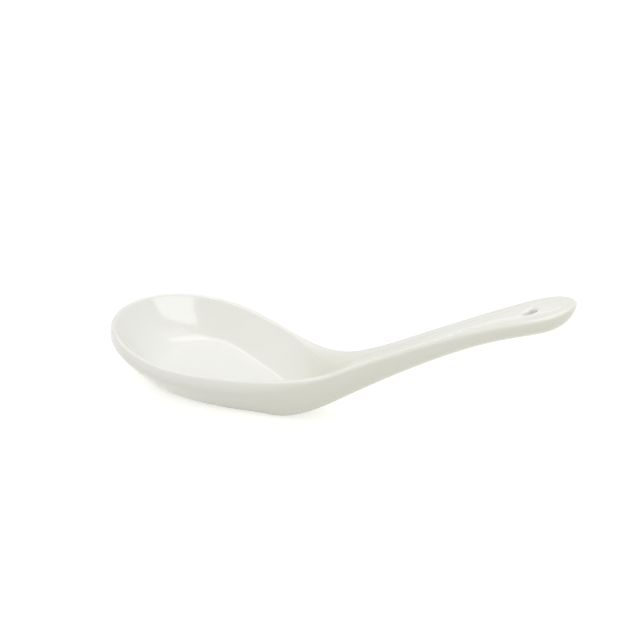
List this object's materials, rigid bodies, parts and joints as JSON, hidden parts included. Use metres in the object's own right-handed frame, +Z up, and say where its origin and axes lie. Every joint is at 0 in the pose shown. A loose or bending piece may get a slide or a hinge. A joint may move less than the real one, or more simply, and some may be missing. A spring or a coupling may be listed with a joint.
{
  "type": "chinese soup spoon",
  "caption": "Glazed porcelain soup spoon with a deep flat-floored oval bowl, a bare flat foot and a grooved handle that rises to a rounded end with a hang hole.",
  "frame": {"origin": "middle of the flat foot's length, on the spoon's middle line and on the surface it stands on", "axes": "+X from the bowl towards the handle's end, +Y to the left of that, +Z up"},
  "size_m": [0.135, 0.044, 0.0537],
  "materials": {
    "porcelain": "fired and unglazed, matt",
    "glaze": "glossy clear glaze over warm white porcelain"
  },
  "bodies": {
    "root": {"porcelain_body": "porcelain", "glaze_coat": "glaze"}
  },
  "joints": []
}
